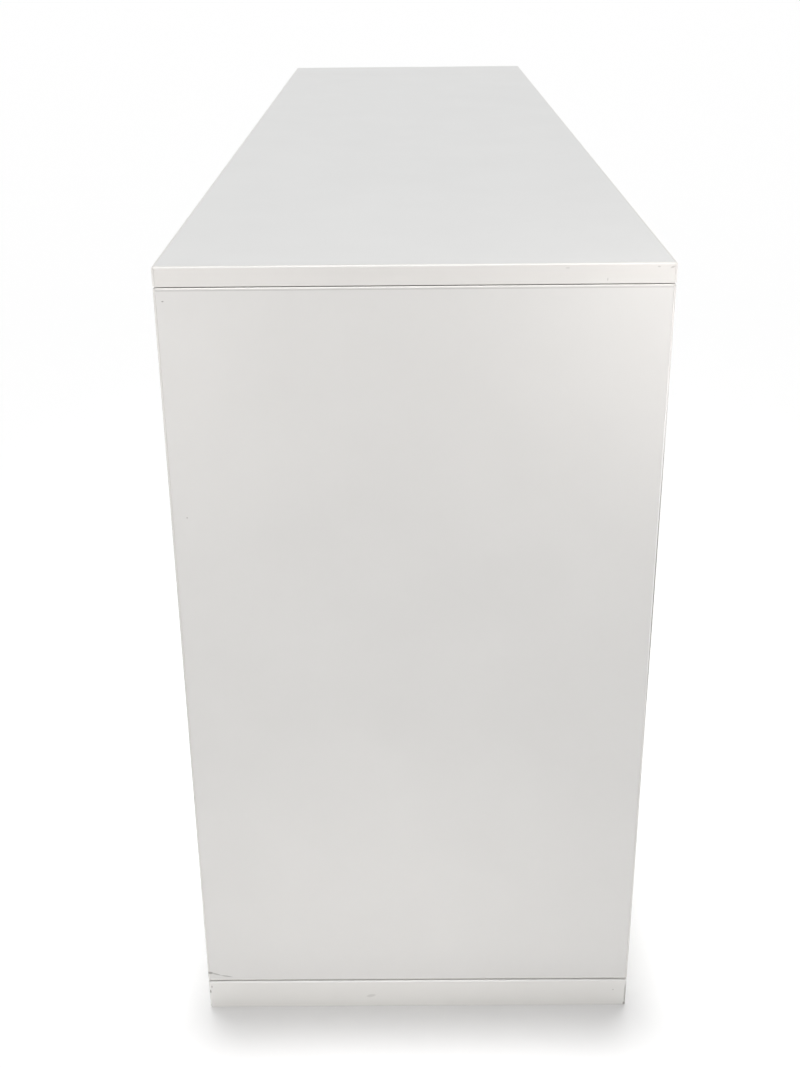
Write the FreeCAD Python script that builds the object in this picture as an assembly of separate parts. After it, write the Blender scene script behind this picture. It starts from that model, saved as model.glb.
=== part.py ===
"""Office sideboard with two inset sliding doors, built from melamine-faced boards.

The boards carry glued edge banding with eased edges. The carcass stands on a flush
plinth frame with screw levellers inside it. Dowels and cam fittings join the boards.
Each door rolls on two wheels in a twin-groove rail, is guided by a double channel under
the top, and has a recessed pull and a compass-bolt lock that hooks into the side.

Frame: origin on the floor at the centre of the footprint, +X along the length, +Y from
the front to the back, +Z up. All sizes are in millimetres.
"""

import FreeCAD
import Part
import math
import os

V = FreeCAD.Vector

# Overall size
LENGTH = 1600.0
DEPTH = 400.0
HEIGHT = 720.0

# Boards and their edges
BOARD = 16.0
BAND = 2.0
ARRIS = 1.0
PLINTH_HEIGHT = 32.0

# Back panel, held in grooves
BACK_BOARD = 8.0
BACK_INSET = 12.0
GROOVE_DEPTH = 8.0
GROOVE_PLAY = 0.2

# Interior
INTERIOR_SETBACK = 6.0
SHELF_PLAY = 1.0
SHELF_SETBACK = 5.0
PIN_RADIUS = 2.5
PIN_PLAY = 0.05
PIN_WEB = 2.0
PIN_END_GAP = 0.5
PIN_PLATE = 1.2
PIN_PLATE_HEIGHT = 9.0
PIN_TONGUE = 7.0
PIN_TONGUE_WIDTH = 8.0
PIN_TONGUE_THICKNESS = 3.0
PIN_PITCH = 32.0
PINS_EACH_WAY = 2
PIN_ROW_INSET = 37.0

# Sides of the small bars and bores, and of the small discs, that repeat
BAR_SIDES = 6
DISC_SIDES = 12

# Dowels and cam fittings
DOWEL_RADIUS = 4.0
DOWEL_PLAY = 0.1
DOWEL_LONG = 20.0
DOWEL_SHORT = 10.0
DOWEL_END_GAP = 0.5
CAM_RADIUS = 7.5
CAM_DEPTH = 12.5
CAM_BACKSET = 24.0
CAM_PLAY = 0.1
BOLT_RADIUS = 3.5
BOLT_BORE_RADIUS = 4.0
THREAD_RADIUS = 2.5
THREAD_LENGTH = 10.0
JOINT_INSET = 30.0
PLINTH_DOWEL_INSET = 40.0

# Sliding doors
DOOR_GAP = 4.0
DOOR_OVERLAP = 30.0
DOOR_IN_CHANNEL = 7.0
DOOR_ABOVE_RAIL = 2.0

# Twin-groove rail under the doors and double channel above them
RAIL_BASE = 1.5
RAIL_HEIGHT = 6.0
RAIL_RIB = 1.5
RAIL_GROOVE_PLAY = 0.5
RAIL_SETBACK = 2.0
CHANNEL_SETBACK = 0.25
CHANNEL_WALL = 1.5
CHANNEL_DROP = 16.0
PROFILE_PLAY = 0.3

# Wheels and their carriers
WHEEL_RADIUS = 10.0
WHEEL_WIDTH = 5.0
WHEEL_PLAY = 0.05
WHEEL_SIDE_PLAY = 0.3
WHEEL_SLOT_PLAY = 1.5
AXLE_RADIUS = 2.0
AXLE_PLAY = 0.06
AXLE_SQUARE = 2.8
CARRIER_CHEEK = 1.8
CARRIER_END = 10.0
CARRIER_CROWN = 4.0
CARRIER_PLAY = 0.2
CARRIER_INSET = 90.0
CARRIER_BEVEL = 3.0

# Glides on the doors' upper edges
GLIDE_LENGTH = 26.0
GLIDE_SKIRT = 5.0
GLIDE_CROWN = 1.5
GLIDE_PLAY = 0.25
GLIDE_FIT = 0.05

# Recessed pulls
PULL_WIDTH = 28.0
PULL_HEIGHT = 132.0
PULL_DEPTH = 10.0
PULL_WALL = 1.2
PULL_RIM = 4.0
PULL_RIM_THICKNESS = 1.0
PULL_PLAY = 0.2
PULL_INSET = 46.0

# Compass-bolt locks
LOCK_BACKSET = 14.0
LOCK_ABOVE_PULL = 130.0
HOOK_INNER_RADIUS = 18.0
HOOK_OUTER_RADIUS = 22.0
HOOK_THICKNESS = 3.0
HOOK_PLAY = 0.2
HOOK_HUB_RADIUS = 6.0
HOOK_ARM = 5.0
HOOK_SWEEP = 80.0
HOOK_TIP_ANGLE = 85.0
LOCK_CASE_THICKNESS = 8.0
LOCK_CASE_WALL = 1.5
LOCK_CASE_PLAY = 0.2
LOCK_BARREL_RADIUS = 8.0
LOCK_ROSE_RADIUS = 10.0
LOCK_ROSE = 1.0
LOCK_CORE_RADIUS = 5.0
LOCK_CORE_PLAY = 0.05
LOCK_TAIL = 6.0
KEYWAY_WIDTH = 1.2
KEYWAY_HEIGHT = 6.0
KEYWAY_DEPTH = 4.0
STRIKE_PLATE = 1.5
STRIKE_WIDTH = 12.0
STRIKE_MARGIN = 9.0
STRIKE_PLAY = 1.2

# Rubber door buffers
BUFFER_RADIUS = 4.0
BUFFER_STAND = 1.0
BUFFER_SEAT = 1.5
BUFFER_INSET = 40.0
BUFFER_PLAY = 0.1

# Levellers inside the plinth
LEVELLER_INSET_X = 80.0
LEVELLER_INSET_Y = 60.0
FOOT_RADIUS = 16.0
FOOT_THICKNESS = 6.0
SPINDLE_RADIUS = 5.0
SPINDLE_PLAY = 0.06
SPINDLE_SOCKET = 2.5
SPINDLE_SOCKET_DEPTH = 5.0
SPINDLE_TIP_GAP = 2.0
SOCKET_WALL = 5.0
SOCKET_LENGTH = 14.0
SOCKET_LIP = 8.0
SOCKET_FLANGE = 3.0
ACCESS_PLAY = 1.0
CAP_LIP = 3.0
CAP_THICKNESS = 1.2
CAP_PLUG = 3.0
CAP_PLAY = 0.1

# Places worked out from the sizes above
X, Y, Z = V(1, 0, 0), V(0, 1, 0), V(0, 0, 1)
LEFT, RIGHT = -1, 1
FRONT = -DEPTH / 2
BACK = DEPTH / 2
END = LENGTH / 2
INNER_END = END - BOARD
SIDE_FOOT = PLINTH_HEIGHT
FLOOR = PLINTH_HEIGHT + BOARD
CEILING = HEIGHT - BOARD
BACK_FACE = BACK - BACK_INSET - BACK_BOARD
DOOR_PITCH = BOARD + DOOR_GAP
OUTER_DOOR_FACE = FRONT + CHANNEL_SETBACK + (CHANNEL_WALL + DOOR_GAP) / 2
INNER_DOOR_FACE = OUTER_DOOR_FACE + DOOR_PITCH
DOOR_FACE = {LEFT: INNER_DOOR_FACE, RIGHT: OUTER_DOOR_FACE}
INTERIOR_FRONT = INNER_DOOR_FACE + BOARD + INTERIOR_SETBACK
RAIL_TOP = FLOOR + RAIL_HEIGHT
DOOR_FOOT = RAIL_TOP + DOOR_ABOVE_RAIL
DOOR_HEAD = CEILING - CHANNEL_DROP + DOOR_IN_CHANNEL
DOOR_OUTER_EDGE = INNER_END - BUFFER_STAND
AXLE_HEIGHT = FLOOR + RAIL_BASE + WHEEL_RADIUS + WHEEL_PLAY
WHEEL_SLOT_RADIUS = WHEEL_RADIUS + WHEEL_SLOT_PLAY
WHEEL_SLOT_HALF = WHEEL_WIDTH / 2 + WHEEL_SIDE_PLAY
CARRIER_HALF = WHEEL_SLOT_HALF + CARRIER_CHEEK
CARRIER_REACH = WHEEL_SLOT_RADIUS + CARRIER_END
CARRIER_TOP = AXLE_HEIGHT + WHEEL_SLOT_RADIUS + CARRIER_CROWN
PIN_HOLE_DEPTH = (BOARD - PIN_WEB) / 2
PIN_PEG = PIN_HOLE_DEPTH - PIN_END_GAP
ACCESS_RADIUS = SPINDLE_RADIUS + ACCESS_PLAY
SPINDLE_TIP = FLOOR - CAP_PLUG - SPINDLE_TIP_GAP
SHELF_UNDERSIDE = (FLOOR + CEILING - BOARD) / 2
PIN_LEVEL = SHELF_UNDERSIDE - PIN_RADIUS
PIN_ROWS = (INTERIOR_FRONT + PIN_ROW_INSET, BACK_FACE - PIN_ROW_INSET)
PULL_LEVEL = (FLOOR + CEILING) / 2
LOCK_LEVEL = PULL_LEVEL + LOCK_ABOVE_PULL
FRONT_JOINT = INTERIOR_FRONT + JOINT_INSET
BACK_JOINT = BACK_FACE - JOINT_INSET
DOWEL_JOINTS = ((2 * FRONT_JOINT + BACK_JOINT) / 3, (FRONT_JOINT + 2 * BACK_JOINT) / 3)

# The six faces of a board, as (axis number, side)
LEFT_FACE, RIGHT_FACE = (0, -1), (0, 1)
FRONT_FACE, BACK_FACE_EDGE = (1, -1), (1, 1)
LOWER_FACE, UPPER_FACE = (2, -1), (2, 1)

parts = {}


def add(node, *solids):
    """Puts solids into a named node."""
    parts.setdefault(node, []).extend(solids)


def box(x0, x1, y0, y1, z0, z1):
    return Part.makeBox(x1 - x0, y1 - y0, z1 - z0, V(x0, y0, z0))


def rod(radius, start, end):
    """A cylinder from one point to another."""
    along = end - start
    return Part.makeCylinder(radius, along.Length, start, along)


def bar(sides, radius, start, end):
    """A many-sided bar from one point to another, with its radius measured to the corners."""
    along = end - start
    unit = V(along).normalize()
    across = unit.cross(Y if abs(unit.x) > 0.5 else X)
    other = unit.cross(across)
    turns = [2 * math.pi * (n + 0.5) / sides for n in range(sides)]
    corners = [start + across * (radius * math.cos(t)) + other * (radius * math.sin(t)) for t in turns]
    wire = Part.makePolygon(corners + [corners[0]])
    return Part.Face(wire).extrude(along)


def upright_block(centre, width, height, depth):
    """A block centred in X and Z on a point of its front face, reaching back along +Y."""
    corner = centre - X * (width / 2) - Z * (height / 2)
    return Part.makeBox(width, depth, height, corner)


def edges_on(solid, axis, value):
    """The edges that lie in the plane where a coordinate has a value."""
    found = []
    for edge in solid.Edges:
        box_of = edge.BoundBox
        low = (box_of.XMin, box_of.YMin, box_of.ZMin)[axis]
        high = (box_of.XMax, box_of.YMax, box_of.ZMax)[axis]
        if abs(low - value) < 1e-6 and abs(high - value) < 1e-6:
            found.append(edge)
    return found


class Board:
    """A rectangular board, with bores and pockets cut in it and banding on some of its edges.

    through lists the edge faces whose band runs past the ends of its neighbours, and
    butted those whose band ends against them.
    """

    def __init__(self, low, high, through=(), butted=()):
        self.low = tuple(low)
        self.high = tuple(high)
        self.through = tuple(through)
        self.butted = tuple(butted)
        self.tools = []

    def cut(self, *tools):
        self.tools.extend(tools)

    def plane(self, face):
        axis, side = face
        return self.high[axis] if side > 0 else self.low[axis]

    def thin_axis(self):
        spans = [h - l for l, h in zip(self.low, self.high)]
        return spans.index(min(spans))

    def eased_edges(self, solid):
        """Edges along the bands, and the corners where two bands meet."""
        faces = self.through + self.butted
        counts = {}
        for axis, side in faces:
            for edge in edges_on(solid, axis, self.plane((axis, side))):
                key = tuple(round(c, 3) for c in edge.CenterOfMass)
                counts.setdefault(key, [edge, 0])[1] += 1
        thin = self.thin_axis()
        chosen = []
        for edge, count in counts.values():
            across = abs(edge.tangentAt(edge.FirstParameter)[thin]) > 0.5
            if count == 2 or not across:
                chosen.append(edge)
        return chosen

    def inset(self, faces):
        """The board's extents with a band's thickness taken off some faces."""
        low, high = list(self.low), list(self.high)
        for axis, side in faces:
            if side > 0:
                high[axis] -= BAND
            else:
                low[axis] += BAND
        return low, high

    def strip(self, face, inside_of=()):
        """The space of one band, ending against the bands in inside_of."""
        low, high = self.inset(inside_of)
        axis, side = face
        if side > 0:
            low[axis] = self.high[axis] - BAND
        else:
            high[axis] = self.low[axis] + BAND
        return box(low[0], high[0], low[1], high[1], low[2], high[2])

    def solids(self):
        """The core and the list of bands."""
        low, high = self.low, self.high
        whole = box(low[0], high[0], low[1], high[1], low[2], high[2])
        eased = self.eased_edges(whole)
        if eased:
            whole = whole.makeChamfer(ARRIS, eased)
        if self.tools:
            whole = whole.cut(self.tools)
        if not eased:
            return whole.Solids[0], []
        low, high = self.inset(self.through + self.butted)
        core = whole.common(box(low[0], high[0], low[1], high[1], low[2], high[2]))
        bands = [whole.common(self.strip(f)) for f in self.through]
        bands += [whole.common(self.strip(f, self.through)) for f in self.butted]
        return core.Solids[0], [b.Solids[0] for b in bands]


def dowel(contact, into, first, second):
    """A dowel across the joint at a contact point; into points from the first board to the second."""
    start = contact - into * DOWEL_LONG
    end = contact + into * DOWEL_SHORT
    add("dowels", bar(BAR_SIDES, DOWEL_RADIUS, start, end))
    gap = into * DOWEL_END_GAP
    bore = bar(BAR_SIDES, DOWEL_RADIUS + DOWEL_PLAY, start - gap, end + gap)
    first.cut(bore)
    second.cut(bore)


def cam_joint(contact, into, face, held, mate):
    """A cam fitting in one board that draws in a bolt screwed into the mating board.

    contact is the middle of the held board's end, into points at the mate, and face is
    the normal of the board's face that the cam is set in.
    """
    centre = contact - into * CAM_BACKSET
    mouth = centre + face * (BOARD / 2)
    bottom = mouth - face * CAM_DEPTH
    bolt_bore = bar(BAR_SIDES, BOLT_BORE_RADIUS, centre, contact)
    add("cam_housings", bar(DISC_SIDES, CAM_RADIUS, mouth, bottom).cut(bolt_bore).Solids[0])
    shank = bar(BAR_SIDES, BOLT_RADIUS, centre, contact)
    thread = bar(BAR_SIDES, THREAD_RADIUS, contact, contact + into * THREAD_LENGTH)
    add("cam_bolts", shank.fuse(thread).removeSplitter().Solids[0])
    held.cut(bar(DISC_SIDES, CAM_RADIUS + CAM_PLAY, mouth, bottom - face * CAM_PLAY), bolt_bore)
    thread_end = contact + into * (THREAD_LENGTH + DOWEL_END_GAP)
    mate.cut(bar(BAR_SIDES, THREAD_RADIUS + CAM_PLAY, contact, thread_end))


def make_boards():
    """The boards of the carcass, before anything is bored in them."""
    boards = {
        "top_panel": Board(
            (-END, FRONT, CEILING), (END, BACK, HEIGHT),
            through=(FRONT_FACE, BACK_FACE_EDGE), butted=(LEFT_FACE, RIGHT_FACE),
        ),
        "bottom_panel": Board(
            (-INNER_END, FRONT, SIDE_FOOT), (INNER_END, BACK, FLOOR),
            through=(FRONT_FACE, BACK_FACE_EDGE),
        ),
        "partition": Board(
            (-BOARD / 2, INTERIOR_FRONT, FLOOR), (BOARD / 2, BACK_FACE, CEILING),
            through=(FRONT_FACE,),
        ),
    }
    for name, side in (("left", LEFT), ("right", RIGHT)):
        faces = sorted((side * END, side * INNER_END))
        boards[name + "_side_panel"] = Board(
            (faces[0], FRONT, SIDE_FOOT), (faces[1], BACK, CEILING),
            through=(FRONT_FACE, BACK_FACE_EDGE), butted=(LOWER_FACE, UPPER_FACE),
        )
        reach = sorted((side * (BOARD / 2 + SHELF_PLAY), side * (INNER_END - SHELF_PLAY)))
        boards[name + "_shelf"] = Board(
            (reach[0], INTERIOR_FRONT + SHELF_SETBACK, SHELF_UNDERSIDE),
            (reach[1], BACK_FACE - SHELF_PLAY, SHELF_UNDERSIDE + BOARD),
            through=(FRONT_FACE,),
        )
    return boards


def make_plinth():
    """The plinth frame: two full-depth ends, with the rails and a cross rail between them."""
    rail_front = FRONT + BOARD
    rail_back = BACK - BOARD
    return {
        "plinth_left_end": Board((-END, FRONT, 0), (-INNER_END, BACK, PLINTH_HEIGHT)),
        "plinth_right_end": Board((INNER_END, FRONT, 0), (END, BACK, PLINTH_HEIGHT)),
        "plinth_front_rail": Board((-INNER_END, FRONT, 0), (INNER_END, rail_front, PLINTH_HEIGHT)),
        "plinth_back_rail": Board((-INNER_END, rail_back, 0), (INNER_END, BACK, PLINTH_HEIGHT)),
        "plinth_cross_rail": Board((-BOARD / 2, rail_front, 0), (BOARD / 2, rail_back, PLINTH_HEIGHT)),
    }


def join_carcass(boards):
    """Dowels and cam fittings between the top, sides, bottom and partition."""
    top, bottom, partition = boards["top_panel"], boards["bottom_panel"], boards["partition"]
    middle_height = (SIDE_FOOT + FLOOR) / 2
    for name, side in (("left", LEFT), ("right", RIGHT)):
        panel = boards[name + "_side_panel"]
        board_centre = side * (END - BOARD / 2)
        for y in (FRONT_JOINT, BACK_JOINT):
            cam_joint(V(side * INNER_END, y, middle_height), X * side, -Z, bottom, panel)
            cam_joint(V(board_centre, y, CEILING), Z, X * -side, panel, top)
        for y in DOWEL_JOINTS:
            dowel(V(side * INNER_END, y, middle_height), X * side, bottom, panel)
            dowel(V(board_centre, y, CEILING), Z, panel, top)
    for y in DOWEL_JOINTS:
        dowel(V(0, y, FLOOR), -Z, partition, bottom)
        dowel(V(0, y, CEILING), Z, partition, top)


def join_plinth(boards, plinth):
    """Dowels inside the plinth frame, and between it and the carcass."""
    half = PLINTH_HEIGHT / 2
    bottom = boards["bottom_panel"]
    rails = (("plinth_front_rail", FRONT + BOARD / 2, 1), ("plinth_back_rail", BACK - BOARD / 2, -1))
    for name, side in (("left", LEFT), ("right", RIGHT)):
        end = plinth["plinth_" + name + "_end"]
        panel = boards[name + "_side_panel"]
        for y in (FRONT + PLINTH_DOWEL_INSET, BACK - PLINTH_DOWEL_INSET):
            dowel(V(side * (END - BOARD / 2), y, SIDE_FOOT), Z, end, panel)
        for rail, y, _ in rails:
            dowel(V(side * INNER_END, y, half), X * side, plinth[rail], end)
            dowel(V(side * INNER_END / 2, y, SIDE_FOOT), Z, plinth[rail], bottom)
    cross = plinth["plinth_cross_rail"]
    for rail, y, inward in rails:
        dowel(V(0, y + inward * BOARD / 2, half), Y * -inward, cross, plinth[rail])


def add_back_panel(boards):
    """The back panel, and the grooves that hold it in the sides, the top and the bottom."""
    seat = GROOVE_DEPTH - GROOVE_PLAY
    panel = box(
        -INNER_END - seat, INNER_END + seat,
        BACK_FACE, BACK_FACE + BACK_BOARD,
        FLOOR - seat, CEILING + seat,
    )
    add("back_panel", panel)
    groove = box(
        -INNER_END - GROOVE_DEPTH, INNER_END + GROOVE_DEPTH,
        BACK_FACE - GROOVE_PLAY / 2, BACK_FACE + BACK_BOARD + GROOVE_PLAY / 2,
        FLOOR - GROOVE_DEPTH, CEILING + GROOVE_DEPTH,
    )
    for name in ("top_panel", "bottom_panel", "left_side_panel", "right_side_panel"):
        boards[name].cut(groove)


def add_shelf_pins(boards):
    """Rows of pin holes in the sides and the partition, and the pins that carry the shelves."""
    rows = [PIN_LEVEL + PIN_PITCH * n for n in range(-PINS_EACH_WAY, PINS_EACH_WAY + 1)]
    for name, side in (("left", LEFT), ("right", RIGHT)):
        faces = (
            (boards[name + "_side_panel"], side * INNER_END, side),
            (boards["partition"], side * BOARD / 2, -side),
        )
        for board, face, into in faces:
            for y in PIN_ROWS:
                for z in rows:
                    mouth = V(face, y, z)
                    bottom = mouth + X * (into * PIN_HOLE_DEPTH)
                    board.cut(bar(BAR_SIDES, PIN_RADIUS + PIN_PLAY, mouth, bottom))
                add("shelf_pins", shelf_pin(V(face, y, PIN_LEVEL), X * -into))


def shelf_pin(mouth, out):
    """A peg on the back of an angle, whose upright stands against the board under the shelf."""
    crest = mouth.z + PIN_RADIUS
    half = PIN_TONGUE_WIDTH / 2
    peg = bar(BAR_SIDES, PIN_RADIUS, mouth - out * PIN_PEG, mouth)
    arms = []
    for length, drop in ((PIN_TONGUE, PIN_TONGUE_THICKNESS), (PIN_PLATE, PIN_PLATE_HEIGHT)):
        reach = sorted((mouth.x, mouth.x + out.x * length))
        arms.append(box(reach[0], reach[1], mouth.y - half, mouth.y + half, crest - drop, crest))
    return peg.multiFuse(arms).removeSplitter().Solids[0]


def add_tracks():
    """The twin-groove rail on the bottom panel and the double channel under the top."""
    reach = INNER_END - PROFILE_PLAY
    outer = OUTER_DOOR_FACE + BOARD / 2
    inner = INNER_DOOR_FACE + BOARD / 2
    overhang = outer - FRONT - RAIL_SETBACK
    base = box(-reach, reach, outer - overhang, inner + overhang, FLOOR, FLOOR + RAIL_BASE)
    groove = WHEEL_WIDTH / 2 + RAIL_GROOVE_PLAY
    starts = [y + offset for y in (outer, inner) for offset in (groove, -groove - RAIL_RIB)]
    ribs = [box(-reach, reach, y, y + RAIL_RIB, FLOOR, RAIL_TOP) for y in starts]
    add("bottom_rail", base.multiFuse(ribs).removeSplitter().Solids[0])

    half = CHANNEL_WALL / 2
    walls = (outer - DOOR_PITCH / 2, (outer + inner) / 2, inner + DOOR_PITCH / 2)
    web = box(-reach, reach, walls[0] - half, walls[-1] + half, CEILING - CHANNEL_WALL, CEILING)
    legs = [box(-reach, reach, y - half, y + half, CEILING - CHANNEL_DROP, CEILING) for y in walls]
    add("top_channel", web.multiFuse(legs).removeSplitter().Solids[0])


def wheel(centre):
    """A wheel with a plain tread, turning about Y on its axle."""
    across = Y * (WHEEL_WIDTH / 2)
    disc = rod(WHEEL_RADIUS, centre - across, centre + across)
    return disc.cut(rod(AXLE_RADIUS + AXLE_PLAY, centre - across, centre + across)).Solids[0]


def axle_square(centre):
    """A square bar through both cheeks of a carrier, which keeps the axle from turning."""
    half = AXLE_SQUARE / 2
    return box(
        centre.x - half, centre.x + half,
        centre.y - CARRIER_HALF, centre.y + CARRIER_HALF,
        centre.z - half, centre.z + half,
    )


def axle(centre):
    """A round axle between the cheeks of a carrier, with square ends held in them."""
    spindle = rod(AXLE_RADIUS, centre - Y * WHEEL_SLOT_HALF, centre + Y * WHEEL_SLOT_HALF)
    return spindle.fuse(axle_square(centre)).removeSplitter().Solids[0]


def carrier(centre):
    """A wheel carrier: a bevelled block with a slot for the wheel and square holes for its axle."""
    x, y = centre.x, centre.y
    block = box(
        x - CARRIER_REACH, x + CARRIER_REACH, y - CARRIER_HALF, y + CARRIER_HALF, DOOR_FOOT, CARRIER_TOP
    )
    shoulders = [e for e in edges_on(block, 2, CARRIER_TOP) if abs(e.tangentAt(e.FirstParameter).y) > 0.5]
    block = block.makeChamfer(CARRIER_BEVEL, shoulders)
    slot = box(
        x - WHEEL_SLOT_RADIUS, x + WHEEL_SLOT_RADIUS, y - WHEEL_SLOT_HALF, y + WHEEL_SLOT_HALF,
        DOOR_FOOT, AXLE_HEIGHT + WHEEL_SLOT_RADIUS,
    )
    return block.cut([slot, axle_square(centre)]).Solids[0]


def pull(centre):
    """A recessed pull: a rectangular cup with a thin rim, its mouth at the door's face."""
    lip = centre - Y * PULL_RIM_THICKNESS
    rim = upright_block(lip, PULL_WIDTH + 2 * PULL_RIM, PULL_HEIGHT + 2 * PULL_RIM, PULL_RIM_THICKNESS)
    back = PULL_DEPTH + PULL_WALL
    shell = upright_block(centre, PULL_WIDTH + 2 * PULL_WALL, PULL_HEIGHT + 2 * PULL_WALL, back)
    hollow = upright_block(lip, PULL_WIDTH, PULL_HEIGHT, PULL_DEPTH + PULL_RIM_THICKNESS)
    return rim.fuse(shell).cut(hollow).removeSplitter().Solids[0]


def polar(axis_point, radius, angle):
    """A point round the lock's axis; angle 0 is along +X and 90 is up."""
    turn = math.radians(angle)
    return axis_point + X * (radius * math.cos(turn)) + Z * (radius * math.sin(turn))


def hook(axis_point):
    """The compass bolt, drawn back: a hub, an arm and a curved bar centred on the hub."""
    tip, root = HOOK_TIP_ANGLE, HOOK_TIP_ANGLE + HOOK_SWEEP
    middle = (tip + root) / 2
    outer = Part.Arc(*[polar(axis_point, HOOK_OUTER_RADIUS, a) for a in (tip, middle, root)])
    inner = Part.Arc(*[polar(axis_point, HOOK_INNER_RADIUS, a) for a in (root, middle, tip)])
    edges = [
        outer.toShape(),
        Part.LineSegment(outer.EndPoint, inner.StartPoint).toShape(),
        inner.toShape(),
        Part.LineSegment(inner.EndPoint, outer.StartPoint).toShape(),
    ]
    bolt = Part.Face(Part.Wire(edges)).extrude(Y * HOOK_THICKNESS)
    hub = bar(BAR_SIDES, HOOK_HUB_RADIUS, axis_point, axis_point + Y * HOOK_THICKNESS)
    bolt_middle = (HOOK_INNER_RADIUS + HOOK_OUTER_RADIUS) / 2
    arm = Part.makeBox(bolt_middle, HOOK_THICKNESS, HOOK_ARM, axis_point - Z * HOOK_ARM)
    arm.rotate(axis_point, Y, -root)
    tail = LOCK_TAIL / 2 + LOCK_CORE_PLAY
    square = box(
        axis_point.x - tail, axis_point.x + tail,
        axis_point.y, axis_point.y + HOOK_THICKNESS,
        axis_point.z - tail, axis_point.z + tail,
    )
    return bolt.multiFuse([hub, arm]).cut(square).removeSplitter().Solids[0]


def make_lock():
    """A lock for a right-hand edge, its axis through the origin and the door's face at y = 0.

    Returns the fixed case, the turning core, the hook and the mortise that the door needs.
    """
    middle = BOARD / 2
    half = LOCK_CASE_THICKNESS / 2
    hook_half = HOOK_THICKNESS / 2
    gap = hook_half + HOOK_PLAY
    room = HOOK_OUTER_RADIUS + HOOK_PLAY
    sill = -HOOK_HUB_RADIUS - HOOK_PLAY
    wall = LOCK_CASE_WALL
    case = box(-room - wall, LOCK_BACKSET, middle - half, middle + half, sill - wall, room + wall)
    hollow = box(-room, LOCK_BACKSET - wall, middle - gap, middle + gap, sill, room)
    low, high = hook_window(LOCK_BACKSET - wall, LOCK_BACKSET)
    window = box(LOCK_BACKSET - wall, LOCK_BACKSET, middle - gap, middle + gap, low, high)
    barrel = bar(BAR_SIDES, LOCK_BARREL_RADIUS, V(0, 0, 0), V(0, middle - half, 0))
    rose = rod(LOCK_ROSE_RADIUS, V(0, -LOCK_ROSE, 0), V(0, 0, 0))
    bore = rod(LOCK_CORE_RADIUS + LOCK_CORE_PLAY, V(0, -LOCK_ROSE, 0), V(0, middle, 0))
    case = case.multiFuse([barrel, rose]).cut([hollow, window, bore]).removeSplitter().Solids[0]

    core = rod(LOCK_CORE_RADIUS, V(0, -LOCK_ROSE, 0), V(0, middle - gap, 0))
    keyway = box(
        -KEYWAY_WIDTH / 2, KEYWAY_WIDTH / 2,
        -LOCK_ROSE, KEYWAY_DEPTH - LOCK_ROSE,
        -KEYWAY_HEIGHT / 2, KEYWAY_HEIGHT / 2,
    )
    end = LOCK_TAIL / 2
    tail = box(-end, end, middle - gap, middle + hook_half, -end, end)
    core = core.fuse(tail).cut(keyway).removeSplitter().Solids[0]

    play = LOCK_CASE_PLAY
    mortise = box(
        -room - wall - play, LOCK_BACKSET, middle - half - play / 2, middle + half + play / 2,
        sill - wall - play, room + wall + play,
    )
    face_bore = bar(BAR_SIDES, LOCK_BARREL_RADIUS + play, V(0, 0, 0), V(0, middle, 0))
    return case, core, hook(V(0, middle - hook_half, 0)), [mortise, face_bore]


def hook_window(near, far):
    """The heights that the hook's bar passes through between two planes, with room to spare."""
    low = math.sqrt(max(HOOK_INNER_RADIUS**2 - far**2, 0.0)) - STRIKE_PLAY
    high = math.sqrt(HOOK_OUTER_RADIUS**2 - near**2) + STRIKE_PLAY
    return low, high


def make_strike():
    """The strike plate in the lock's own frame, and the pocket that the side panel needs."""
    middle = BOARD / 2
    near = LOCK_BACKSET + BUFFER_STAND
    far = near + STRIKE_PLATE
    gap = HOOK_THICKNESS / 2 + STRIKE_PLAY
    half = STRIKE_WIDTH / 2
    low, high = hook_window(near, far)
    foot = -HOOK_HUB_RADIUS
    plate = box(near, far, middle - half, middle + half, foot - STRIKE_MARGIN, high + STRIKE_MARGIN)
    plate = plate.cut(box(near, far, middle - gap, middle + gap, low, high)).Solids[0]
    play = LOCK_CASE_PLAY / 2
    seat = box(
        near, far, middle - half - play, middle + half + play,
        foot - STRIKE_MARGIN - play, high + STRIKE_MARGIN + play,
    )
    reach = HOOK_OUTER_RADIUS + STRIKE_PLAY
    pocket = box(far, reach, middle - gap, middle + gap, foot, high)
    return plate, [seat, pocket]


def placed(shape, side, shift):
    """A copy of a right-hand shape, mirrored for the left-hand side, moved to its place."""
    copy = shape.mirror(V(0, 0, 0), X) if side == LEFT else shape.copy()
    copy.translate(shift)
    return copy


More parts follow.
